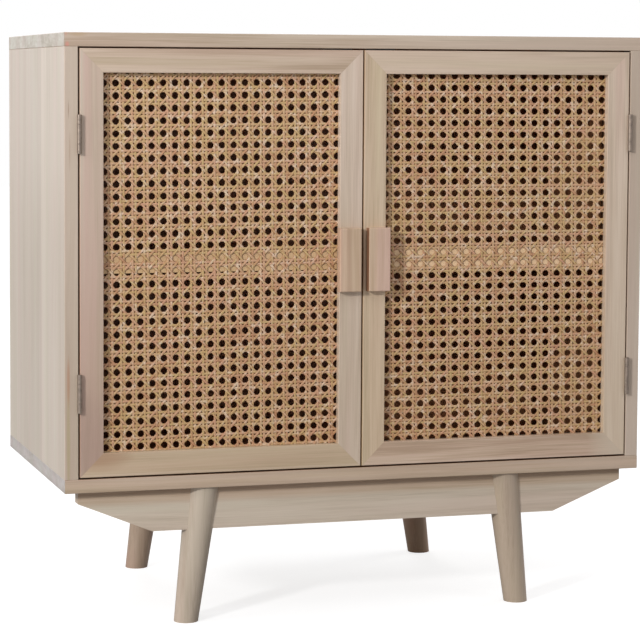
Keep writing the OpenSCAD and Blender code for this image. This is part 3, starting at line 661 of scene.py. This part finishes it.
satin = satin_nickel()
plastic = catch_plastic()
beech = wood("beech", "beech", "z", BEECH_SEED, contrast=BEECH_CONTRAST)
for node_name, obj in NODES.items():
    if node_name in WOODS:
        palette, grain, seed, look = WOODS[node_name]
        paint(obj, wood(node_name + "_wood", palette, grain, seed, **look))
    elif "dowels" in node_name or "keys" in node_name:
        paint(obj, beech)
    elif node_name.endswith("_catch"):
        paint(obj, plastic)
    else:
        paint(obj, satin)

# Woven cane. The grid gives a hole's place from its column and row: a corner and two steps, in
# millimetres in the plane of the cane, x from the middle of the sideboard and z from the floor.

MM = 0.001
CANE_GRID = {
    "left_cane": ((-189.67, 528.92), (15.625, 0.123), (-0.077, 16.181)),
    "right_cane": ((181.92, 544.71), (16.392, -0.022), (-0.168, 15.641)),
}
# How far inside the sheet's edge the strands end, in millimetres
EDGE_PLAY = 0.4
# Each row and column has a pair of strands, this far from its line, in cells
PAIR_OFF = 0.135
# Widths of the strands and their thickness, in millimetres
PAIR_W, DIAGONAL_W, STRAND_T = 3.5, 3.25, 0.75
# How far a strand rises and dips in millimetres, and how near a crossing a pair does so, in cells
DIAGONAL_LIFT, PAIR_LIFT = 0.55, 0.28
CROSSING = 0.24
# Points along a strand, and the length in cells under which one is left out
STEPS_PER_CELL = 8
SHORTEST = 0.05
# What differs from strand to strand: its place in cells, the length in cells and the height in
# millimetres of its waves, the share of its width, and how its width swells along it
NUDGE = 0.010
WAVE_CELLS, WAVE_W = (5, 9), 0.10
WIDTH_RANGE = (0.93, 1.07)
SWELL, SWELL_RATE, SWELL_START = 0.05, (1.5, 3.0), (0, 6)
# A strand's section: place across it, height, and how much of the dark side it shows
SECTION = [(-0.5, 0.0, 1.0), (-0.30, 0.42, 0.0), (0.0, 0.5, 0.0), (0.30, 0.42, 0.0),
           (0.5, 0.0, 1.0), (0.0, -0.5, 0.3)]
CANE_SEEDS = {"left": 11, "right": 12}
# A length past any strand's, and a step too small to count
FAR = 1e9
PARALLEL = 1e-12


def clip_line(p, d, low, high):
    """Range of t for which p + t d is inside the rectangle from low to high, or None."""
    t0, t1 = -FAR, FAR
    for k in (0, 1):
        if abs(d[k]) < PARALLEL:
            if not low[k] <= p[k] <= high[k]:
                return None
            continue
        a, b = (low[k] - p[k]) / d[k], (high[k] - p[k]) / d[k]
        t0, t1 = max(t0, min(a, b)), min(t1, max(a, b))
    return (t0, t1) if t1 - t0 > SHORTEST else None


def strand_list(i0, i1, j0, j1):
    """Every strand: a point and direction in grid cells, its kind, and which of its pair it is."""
    strands = []
    for i in range(i0, i1 + 1):
        for k, off in enumerate((-PAIR_OFF, PAIR_OFF)):
            strands.append(((i + HALF + off, 0.0), (0.0, 1.0), "up", k))
    for j in range(j0, j1 + 1):
        for k, off in enumerate((-PAIR_OFF, PAIR_OFF)):
            strands.append(((0.0, j + HALF + off), (1.0, 0.0), "cross", k))
    for n in range(i0 + j0 - 1, i1 + j1 + 2):
        strands.append(((n + HALF, 0.0), (-1.0, 1.0), "rising", 0))
    for n in range(i0 - j1 - 1, i1 - j0 + 2):
        strands.append(((n + HALF, 0.0), (1.0, 1.0), "falling", 0))
    return strands


def strand_height(kind, k, cell):
    """How far a strand stands in front of the middle of the cane, along its cells."""
    if kind == "rising":
        return -DIAGONAL_LIFT * np.cos(2 * np.pi * cell[:, 0])
    if kind == "falling":
        return DIAGONAL_LIFT * np.cos(2 * np.pi * cell[:, 0])
    along = cell[:, 1 if kind == "up" else 0] - HALF
    off = along - np.round(along)
    sign = (1 if kind == "up" else -1) * (-1) ** k
    return sign * PAIR_LIFT * np.sin(np.pi * off / (2 * PAIR_OFF)) * np.exp(-(off / CROSSING) ** 2)


def weave_mesh(name, verts, quads, layers):
    """Smooth mesh with a number at each vertex for each layer."""
    mesh = bpy.data.meshes.new(name)
    mesh.vertices.add(len(verts))
    mesh.vertices.foreach_set("co", verts.astype(np.float32).ravel())
    mesh.loops.add(len(quads) * 4)
    mesh.loops.foreach_set("vertex_index", quads.astype(np.int32).ravel())
    mesh.polygons.add(len(quads))
    mesh.polygons.foreach_set("loop_start", np.arange(0, len(quads) * 4, 4, dtype=np.int32))
    mesh.polygons.foreach_set("use_smooth", np.ones(len(quads), bool))
    mesh.update(calc_edges=True)
    mesh.validate()
    for key, data in layers:
        layer = mesh.attributes.new(key, "FLOAT", "POINT")
        layer.data.foreach_set("value", data.astype(np.float32))
    return mesh


def build_cane(name, body, mat, seed):
    """One mesh with every strand of a door's cane, woven over and under."""
    rng = np.random.default_rng(seed)
    low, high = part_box(name)
    rect_low = np.array([low.x, low.z]) / MM + EDGE_PLAY
    rect_high = np.array([high.x, high.z]) / MM - EDGE_PLAY
    mid_y = (low.y + high.y) / 2 / MM
    corner, step_i, step_j = (np.array(v) for v in CANE_GRID[name])
    basis = np.array([step_i, step_j]).T
    corners = np.array([[a, b] for a in (rect_low[0], rect_high[0]) for b in (rect_low[1], rect_high[1])])
    cells = np.linalg.solve(basis, (corners - corner).T).T
    i0, j0 = np.floor(cells.min(0)).astype(int) - 1
    i1, j1 = np.ceil(cells.max(0)).astype(int) + 1

    verts, quads, tints, edges = [], [], [], []
    sides = len(SECTION)
    count = 0
    for point, direction, kind, k in strand_list(i0, i1, j0, j1):
        point, direction = np.array(point), np.array(direction)
        p = corner + basis @ (point + rng.normal(0.0, NUDGE, 2))
        d = basis @ direction
        span = clip_line(p, d, rect_low, rect_high)
        if span is None:
            continue
        steps = max(2, int(round((span[1] - span[0]) * STEPS_PER_CELL)) + 1)
        t = np.linspace(span[0], span[1], steps)
        cell = point[None, :] + t[:, None] * direction[None, :]
        wave = WAVE_W * np.sin(2 * np.pi * (t / rng.uniform(*WAVE_CELLS) + rng.uniform()))
        across = np.array([-d[1], d[0]]) / np.hypot(*d)
        centre = p[None, :] + t[:, None] * d[None, :] + wave[:, None] * across[None, :]
        height = strand_height(kind, k, cell)
        swell = 1 + SWELL * np.sin(t * rng.uniform(*SWELL_RATE) + rng.uniform(*SWELL_START))
        strand_w = PAIR_W if kind in ("up", "cross") else DIAGONAL_W
        width = strand_w * rng.uniform(*WIDTH_RANGE) * swell
        tint = rng.uniform()
        for s_across, s_up, s_edge in SECTION:
            q = centre + (width * s_across)[:, None] * across[None, :]
            verts.append(np.c_[q[:, 0], mid_y - height - STRAND_T * s_up, q[:, 1]])
            edges.append(np.full(steps, s_edge))
            tints.append(np.full(steps, tint))
        a = np.arange(steps - 1)
        for r in range(sides):
            here, there = count + r * steps, count + (r + 1) % sides * steps
            quads.append(np.stack([here + a, here + a + 1, there + a + 1, there + a], 1))
        count += steps * sides
    layers = (("tint", np.concatenate(tints)), ("edge", np.concatenate(edges)))
    mesh = weave_mesh(name + "_weave", np.concatenate(verts) * MM, np.concatenate(quads), layers)
    mesh.materials.append(mat)
    obj = bpy.data.objects.new(name + "_weave", mesh)
    bpy.context.scene.collection.objects.link(obj)
    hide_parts(name)
    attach(obj, body)


cane = cane_material()
for side in SIDES:
    build_cane(side + "_cane", side + "_door", cane, CANE_SEEDS[side])

# Floor: grey to the light, and lifted to white for the camera, with the object's shadow kept

FLOOR_HALF = 12.0
SPECK_SCALE, SPECK_DETAIL = even(4.0), 3.0
SPECK_STOPS = [(0.3, srgb(172, 172, 171)), (0.7, srgb(177, 177, 177))]
FLOOR_ROUGH = 0.9
GLOW_NEAR, GLOW_FAR = 0.735, 0.85
GLOW_START, GLOW_END = 1.2, 4.0


def floor_material():
    s = Shader("pale_floor")
    coord, xyz = s.object_xyz()
    s.put("Base Color", s.ramp(s.noise(coord, SPECK_SCALE, SPECK_DETAIL), SPECK_STOPS))
    s.put("Roughness", FLOOR_ROUGH)
    away = s.math("SQRT", s.squares(xyz[0], xyz[1]))
    level = s.map_range(away, GLOW_START, GLOW_END, GLOW_NEAR, GLOW_FAR)
    glow = s.add("Emission", {"Color": WHITE, "Strength": level})
    lifted = s.add("AddShader", {0: s.bsdf.outputs[0], 1: glow.outputs[0]})
    seen = s.add("LightPath").outputs["Is Camera Ray"]
    s.surface(s.mix_shaders(seen, s.bsdf, lifted))
    return s.mat


floor_mesh = bpy.data.meshes.new("floor")
floor_mesh.from_pydata([(-FLOOR_HALF, -FLOOR_HALF, 0), (FLOOR_HALF, -FLOOR_HALF, 0),
                        (FLOOR_HALF, FLOOR_HALF, 0), (-FLOOR_HALF, FLOOR_HALF, 0)], [], [(0, 1, 2, 3)])
floor = bpy.data.objects.new("floor", floor_mesh)
bpy.context.scene.collection.objects.link(floor)
paint(floor, floor_material())

# World: white where the camera sees it, directly or mirrored, and a soft light for all the rest

WORLD_COLOUR = srgb(250, 250, 255)
WORLD_LEVEL = 0.31


def studio_world():
    world = bpy.data.worlds.new("studio")
    bpy.context.scene.world = world
    world.use_nodes = True
    n = Nodes(world.node_tree)
    rays = n.add("LightPath").outputs
    mirrored = n.math("MAXIMUM", rays["Is Glossy Ray"], rays["Is Transmission Ray"])
    seen = n.math("MAXIMUM", rays["Is Camera Ray"], mirrored)
    white = n.add("Background", {"Color": WHITE, "Strength": 1.0})
    soft = n.add("Background", {"Color": WORLD_COLOUR, "Strength": WORLD_LEVEL})
    n.add("OutputWorld", {"Surface": n.mix_shaders(seen, soft, white).outputs[0]})


studio_world()

# Lights, all aimed at the middle of the sideboard: name, place in metres, diameter and watts

AIM = (0.0, 0.0, 0.45)
LIGHTS = [
    ("key", (-3.25, -2.7, 1.85), 0.45, 102.0),
    ("high_left", (-0.9, -1.7, 2.7), 1.2, 9.0),
    ("left_soft", (-2.3, -0.4, 1.4), 1.3, 11.6),
    ("rear_left_soft", (-2.6, 1.2, 2.0), 1.5, 10.0),
    ("right_soft", (2.4, -3.0, 2.4), 1.6, 13.0),
    ("rear_right_soft", (2.8, 0.9, 1.8), 1.6, 30.0),
    ("rear_soft", (0.3, 3.2, 2.0), 1.6, 26.0),
]


def area_light(name, place, size, power):
    """Round area light that looks at AIM."""
    data = bpy.data.lights.new(name, "AREA")
    data.shape = "DISK"
    data.size = size
    data.energy = power
    obj = bpy.data.objects.new(name, data)
    obj.location = place
    obj.rotation_mode = "QUATERNION"
    obj.rotation_quaternion = (Vector(AIM) - Vector(place)).to_track_quat("-Z", "Y")
    bpy.context.scene.collection.objects.link(obj)


for light in LIGHTS:
    area_light(*light)

# The photograph's camera: place in metres, turn, tilt and roll in degrees, and the picture's
# focal length and centre in its own pixels

CAM_PLACE = (-0.97805, -3.08420, 0.71145)
CAM_TURN, CAM_TILT, CAM_ROLL = 16.05, 3.97, 0.24
CAM_FOCAL = 2316.66
CAM_CENTRE = (256.0, 240.0)
IMAGE_SIZE = 640
SENSOR = 36.0
CLIP_END = 100.0

cam_data = bpy.data.cameras.new("camera")
camera = bpy.data.objects.new("camera", cam_data)
bpy.context.scene.collection.objects.link(camera)
bpy.context.scene.camera = camera
turn, tilt, roll = (math.radians(v) for v in (CAM_TURN, CAM_TILT, CAM_ROLL))
ahead = Vector((math.sin(turn) * math.cos(tilt), math.cos(turn) * math.cos(tilt), -math.sin(tilt)))
level_right = Vector((math.cos(turn), -math.sin(turn), 0.0))
level_up = level_right.cross(ahead)
right = math.cos(roll) * level_right + math.sin(roll) * level_up
up = math.cos(roll) * level_up - math.sin(roll) * level_right
camera.matrix_world = Matrix.Translation(CAM_PLACE) @ Matrix((right, up, -ahead)).transposed().to_4x4()
cam_data.sensor_width = SENSOR
cam_data.lens = CAM_FOCAL / IMAGE_SIZE * SENSOR
cam_data.shift_x = HALF - CAM_CENTRE[0] / IMAGE_SIZE
cam_data.shift_y = CAM_CENTRE[1] / IMAGE_SIZE - HALF
cam_data.clip_end = CLIP_END

bpy.context.scene.view_settings.view_transform = "Standard"
